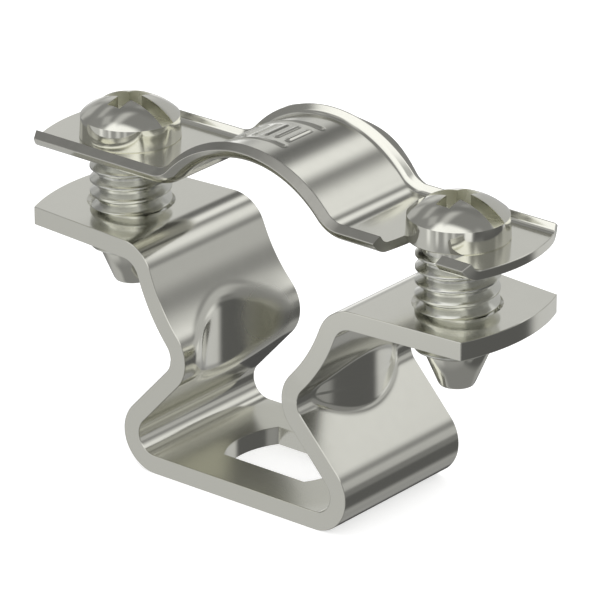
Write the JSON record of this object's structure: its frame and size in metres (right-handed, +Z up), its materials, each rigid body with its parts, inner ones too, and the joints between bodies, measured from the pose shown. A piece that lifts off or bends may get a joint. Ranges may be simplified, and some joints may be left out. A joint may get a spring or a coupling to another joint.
{
  "type": "saddle clamp",
  "caption": "Steel saddle clamp for a round pipe: a folded base with a V cradle and a flanged top strap, drawn together by captive screws.",
  "frame": {"origin": "centre of the base's underside, under the middle of the whole clamp", "axes": "+X along the strip, from the left screw to the right screw; +Y along the pipe, away from the viewer; +Z up"},
  "size_m": [0.0416, 0.013, 0.0268],
  "materials": {
    "steel_sheet": "polished",
    "steel_screw": "polished"
  },
  "bodies": {
    "base": {"base_saddle": "steel_sheet"},
    "strap": {"top_strap": "steel_sheet"},
    "left_bolt": {"left_screw": "steel_screw"},
    "right_bolt": {"right_screw": "steel_screw"}
  },
  "joints": [
    {"name": "strap_slide", "type": "slide", "parent": "base", "child": "strap", "axis": [0, 0, 1], "range_m": [-0.0043, 0.003]},
    {"name": "left_screw_turn", "type": "hinge", "parent": "strap", "child": "left_bolt", "pos_m": [-0.01494, 0, 0.0224], "axis": [0, 0, 1], "range_deg": [-1548, 1080]},
    {"name": "right_screw_turn", "type": "hinge", "parent": "strap", "child": "right_bolt", "pos_m": [0.01494, 0, 0.0224], "axis": [0, 0, 1], "range_deg": [-1548, 1080]}
  ],
  "couplings": [
    {"joint": "left_screw_turn", "follows": "strap_slide", "rad_per_m": 6283.2},
    {"joint": "right_screw_turn", "follows": "strap_slide", "rad_per_m": 6283.2}
  ]
}
